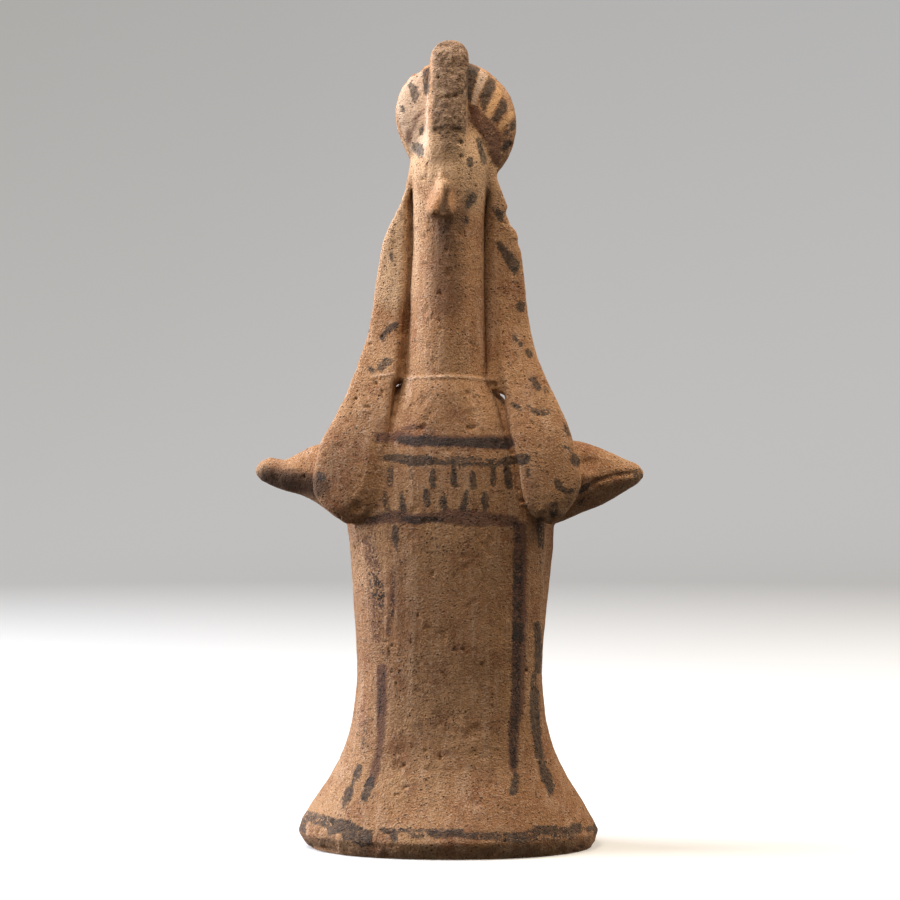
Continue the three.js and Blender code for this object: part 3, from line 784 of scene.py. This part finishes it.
def fired_terracotta():
    """Low-fired, unglazed, hand-wiped clay with slip paint: dead matt, warm and uneven in
    colour, with open pores and paint that has flaked to ragged edges."""
    material, tree = new_material("fired_terracotta_slip_painted")
    place = add(tree, "ShaderNodeTexCoord").outputs["Object"]

    def noise(size, detail=3.0, rough=0.55, stretch=None):
        source = place
        scale = 1 / (size * MM)
        if stretch:
            shrink = {"Scale": [1 / (length * MM) for length in stretch]}
            source = add(tree, "ShaderNodeMapping", shrink, Vector=place).outputs[0]
            scale = 1.0
        settings = {"Scale": scale, "Detail": detail, "Roughness": rough}
        return add(tree, "ShaderNodeTexNoise", settings, Vector=source).outputs["Fac"]

    def ranged(source, low, high, to_low=0.0, to_high=1.0):
        settings = {
            "From Min": low,
            "From Max": high,
            "To Min": to_low,
            "To Max": to_high,
            "interpolation_type": "SMOOTHSTEP",
        }
        return add(tree, "ShaderNodeMapRange", settings, Value=source).outputs[0]

    def sums(operation, first, second):
        settings = {"operation": operation}
        links = {}
        for key, value in (("0", first), ("1", second)):
            if isinstance(value, (int, float)):
                settings[key] = value
            else:
                links["i" + key] = value
        return add(tree, "ShaderNodeMath", settings, **links).outputs[0]

    def over(factor, under, top):
        settings = {"data_type": "RGBA"}
        links = {}
        for key, value in (("0", factor), ("6", under), ("7", top)):
            if isinstance(value, (int, float, list)):
                settings[key] = value
            else:
                links["i" + key] = value
        return add(tree, "ShaderNodeMix", settings, **links).outputs[2]

    def field(name):
        return add(tree, "ShaderNodeAttribute", {"attribute_name": name}).outputs["Fac"]

    # The clay's own colour: pale where slip survives, orange and brown where it is rubbed, with a layer of
    # painted light laid over it
    wipes = noise(1, 3.0, 0.5, stretch=(2.4, 4.0, WIPE_LENGTH))
    grit = noise(GRIT, 3.0, 0.65)
    lumps = noise(LUMP, 4.0, 0.62)
    clay = over(ranged(noise(CLOUD, 2.0), 0.36, 0.66), linear("#bb8c60"), linear("#a9784e"))
    clay = over(ranged(noise(BLOTCH, 4.0, 0.62), 0.44, 0.7, 0, 0.8), clay, linear("#94603c"))
    clay = over(ranged(wipes, 0.5, 0.72, 0, 0.55), clay, linear("#cba27f"))
    # Painted light: paler clay on the face, the right cheek and the locks, where the light falls
    clay = over(sums("MULTIPLY", field("pale"), 0.66), clay, linear("#e2ba90"))
    clay = over(ranged(noise(3.2, 4.0, 0.62), 0.54, 0.72, 0, 0.6), clay, linear("#7d543a"))
    clay = over(ranged(lumps, 0.52, 0.7, 0, 0.5), clay, linear("#cfab8c"))
    clay = over(ranged(grit, 0.54, 0.7, 0, 0.6), clay, linear("#d8b99d"))
    clay = over(ranged(grit, 0.46, 0.32, 0, 0.75), clay, linear("#6f4930"))

    # Painted shade on the left arm's front, the neck's middle, the left lock's lower part and the beak's
    # hollow, with a real dark smudge on the right cheek
    clay = over(sums("MULTIPLY", field("smudge_and_painted_shade"), 0.85), clay, linear("#4b3322"))

    # The crest's break shows the greyer, darker core.
    broken = field("broken")
    core = over(ranged(noise(2.2, 5.0, 0.7), 0.38, 0.62), linear("#775a44"), linear("#bd9b7c"))
    clay = over(sums("MULTIPLY", broken, 0.85), clay, core)

    # Slip paint: a stroke covers where its depth beats the wear of the surface.
    flakes = noise(FLAKE, 3.0, 0.65)
    rubbing = noise(2.8, 3.0, 0.6)
    grazed = sums("ADD", sums("MULTIPLY", flakes, 0.66), sums("MULTIPLY", rubbing, 0.34))
    wobble = sums("SUBTRACT", sums("ADD", flakes, rubbing), 1.0)

    def cover(name, wobble_mm, edge):
        depth = sums("ADD", field(name + "_depth"), sums("MULTIPLY", wobble, wobble_mm))
        inside = ranged(depth, -edge, edge)
        limit = ranged(field(name + "_hold"), 0.0, 1.0, 0.34, 0.66)
        kept = ranged(sums("SUBTRACT", limit, grazed), -0.06, 0.05)
        return sums("MULTIPLY", inside, kept)

    black = cover("black", 1.7, 0.34)
    thin = ranged(noise(1.3, 4.0, 0.65), 0.3, 0.7, 0.66, 1.0)
    black_slip = over(ranged(noise(2.0, 2.0), 0.35, 0.65), linear("#1e1b19"), linear("#38322c"))
    painted = over(sums("MULTIPLY", cover("cream", 1.2, 0.3), 0.7), clay, linear("#d9bda3"))
    painted = over(sums("MULTIPLY", cover("ochre", 1.0, 0.25), 0.85), painted, linear("#dcab78"))
    painted = over(sums("MULTIPLY", cover("purple", 1.5, 0.55), 0.8), painted, linear("#684538"))
    painted = over(sums("MULTIPLY", black, sums("MULTIPLY", thin, 0.94)), painted, black_slip)

    # Open pores with soil in them
    pores = add(tree, "ShaderNodeTexVoronoi", {"Scale": 1 / (PORE * MM)}, Vector=place)
    small = add(tree, "ShaderNodeTexVoronoi", {"Scale": 1 / (SMALL_PORE * MM)}, Vector=place)
    pick = add(tree, "ShaderNodeSeparateColor", {}, Color=pores.outputs["Color"]).outputs[0]
    pick_small = add(tree, "ShaderNodeSeparateColor", {}, Color=small.outputs["Color"]).outputs[1]
    # They crowd together in some places and leave others bare.
    crowd = ranged(noise(11.0, 2.0), 0.42, 0.62, 0.14, -0.1)
    odds = sums("ADD", pick, crowd)
    odds_small = sums("ADD", pick_small, crowd)
    hole = sums("MULTIPLY", ranged(pores.outputs["Distance"], 0.26, 0.1), ranged(odds, 0.86, 0.92))
    hole_small = sums(
        "MULTIPLY",
        ranged(small.outputs["Distance"], 0.36, 0.12),
        ranged(odds_small, 0.66, 0.76),
    )
    holes = sums("MAXIMUM", hole, sums("MULTIPLY", hole_small, 0.7))
    colour = over(sums("MULTIPLY", holes, 0.6), painted, linear("#3b2519"))

    # Relief below what the mesh holds: grit, wiping strokes, pores and the paint's thickness
    relief = sums("MULTIPLY", grit, 0.65)
    relief = sums("ADD", relief, sums("MULTIPLY", lumps, 0.45))
    relief = sums("ADD", relief, sums("MULTIPLY", wipes, 0.45))
    relief = sums("SUBTRACT", relief, sums("MULTIPLY", holes, 0.6))
    relief = sums("ADD", relief, sums("MULTIPLY", black, 0.06))
    rougher = sums("MULTIPLY", broken, sums("MULTIPLY", noise(0.9, 4.0, 0.7), 1.8))
    relief = sums("ADD", relief, rougher)
    bump = add(tree, "ShaderNodeBump", {"Strength": 1.0, "Distance": 1.15 * MM}, Height=relief)

    dull = sums("SUBTRACT", 0.84, sums("MULTIPLY", black, 0.1))
    settings = {"Metallic": 0.0, "IOR": 1.45, "Specular IOR Level": 0.4}
    clay_shader = add(
        tree,
        "ShaderNodeBsdfPrincipled",
        settings,
        Base_Color=colour,
        Roughness=dull,
        Normal=bump.outputs[0],
    )
    add(tree, "ShaderNodeOutputMaterial", {}, Surface=clay_shader.outputs[0])
    return material


def studio_paper():
    """Matt seamless paper: a pale, even ground with no gloss."""
    material, tree = new_material("studio_paper")
    settings = {
        "Base Color": linear("#d9d7d3"),
        "Roughness": 0.95,
        "Specular IOR Level": 0.1,
        "Emission Color": linear("#d9d7d3"),
        "Emission Strength": 0.22,
    }
    paper = add(tree, "ShaderNodeBsdfPrincipled", settings)
    add(tree, "ShaderNodeOutputMaterial", {}, Surface=paper.outputs[0])
    return material


# The studio

STAGE_RADIUS = 1.9
STAGE_BEND = 0.6
STAGE_HEIGHT = 1.7


def set_stage():
    """A round pale floor that curves up into a wall on every side."""
    profile = [(0.0, 0.0), (0.4, 0.0), (STAGE_RADIUS - STAGE_BEND, 0.0)]
    bends, turns = 12, 72
    for i in range(1, bends + 1):
        angle = math.pi / 2 * i / bends
        out = STAGE_RADIUS - STAGE_BEND + STAGE_BEND * math.sin(angle)
        profile.append((out, STAGE_BEND - STAGE_BEND * math.cos(angle)))
    profile.append((STAGE_RADIUS, STAGE_HEIGHT))
    vertices = [
        (out * math.cos(2 * math.pi * turn / turns), out * math.sin(2 * math.pi * turn / turns), up)
        for out, up in profile[1:]
        for turn in range(turns)
    ]
    faces = [tuple(range(turns))]
    for ring in range(len(profile) - 2):
        for turn in range(turns):
            beside = (turn + 1) % turns
            low, high = ring * turns, (ring + 1) * turns
            faces.append((low + beside, low + turn, high + turn, high + beside))
    mesh = bpy.data.meshes.new("studio_stage")
    mesh.from_pydata(vertices, [], faces)
    mesh.shade_smooth()
    mesh.materials.append(studio_paper())
    stage = bpy.data.objects.new("studio_stage", mesh)
    bpy.context.collection.objects.link(stage)
    # The pale ground throws no light back on the figure, so its shadows stay as deep.
    stage.visible_diffuse = False
    stage.visible_glossy = False


DAYLIGHT = "#eaf1ff"
LAMPLIGHT = "#fff2e0"


def add_light(name, azimuth, elevation, power, size, colour, distance=1.1, aim=0.12):
    """A soft square light aimed at a height in metres. Azimuth 0 is in front and 90 at the
    viewer's right, in degrees."""
    turn, lift = math.radians(azimuth), math.radians(elevation)
    towards = Vector((math.sin(turn) * math.cos(lift), -math.cos(turn) * math.cos(lift), math.sin(lift)))
    data = bpy.data.lights.new(name, "AREA")
    data.energy = power
    data.size = size
    data.color = linear(colour)[:3]
    light = bpy.data.objects.new(name, data)
    light.location = Vector((0, 0, aim)) + distance * towards
    light.rotation_euler = (-towards).to_track_quat("-Z", "Y").to_euler()
    bpy.context.collection.objects.link(light)


def set_lights():
    """Tall soft lights at both sides that rake the front, the left ones stronger, and a lamp
    close above the head, so that the light falls off down the figure."""
    add_light("left_high", -95, 50, 15.0, 0.5, DAYLIGHT)
    add_light("left_side", -92, 14, 13.5, 0.5, DAYLIGHT)
    add_light("left_behind", -120, 0, 7.7, 0.5, DAYLIGHT)
    add_light("right_high", 95, 50, 10.0, 0.5, LAMPLIGHT)
    add_light("right_behind", 120, 0, 3.0, 0.5, LAMPLIGHT)
    add_light("head_lamp", -24, 56, 1.4, 0.22, LAMPLIGHT, distance=0.36, aim=0.215)
    world = bpy.data.worlds.new("studio_air")
    world.use_nodes = True
    background = world.node_tree.nodes["Background"]
    background.inputs["Color"].default_value = (1.0, 1.0, 1.0, 1.0)
    background.inputs["Strength"].default_value = 0.12
    bpy.context.scene.world = world


# Colours are shown as they are, without a film's tone curve.
bpy.context.scene.view_settings.view_transform = "Standard"

set_camera()
set_stage()
set_lights()
idol = raw_clay()
model_clay(idol)
thin_out(idol)
lay_paint(idol)
idol.data.shade_smooth()
idol.data.materials.clear()
idol.data.materials.append(fired_terracotta())
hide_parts("idol")
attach(idol, "root")
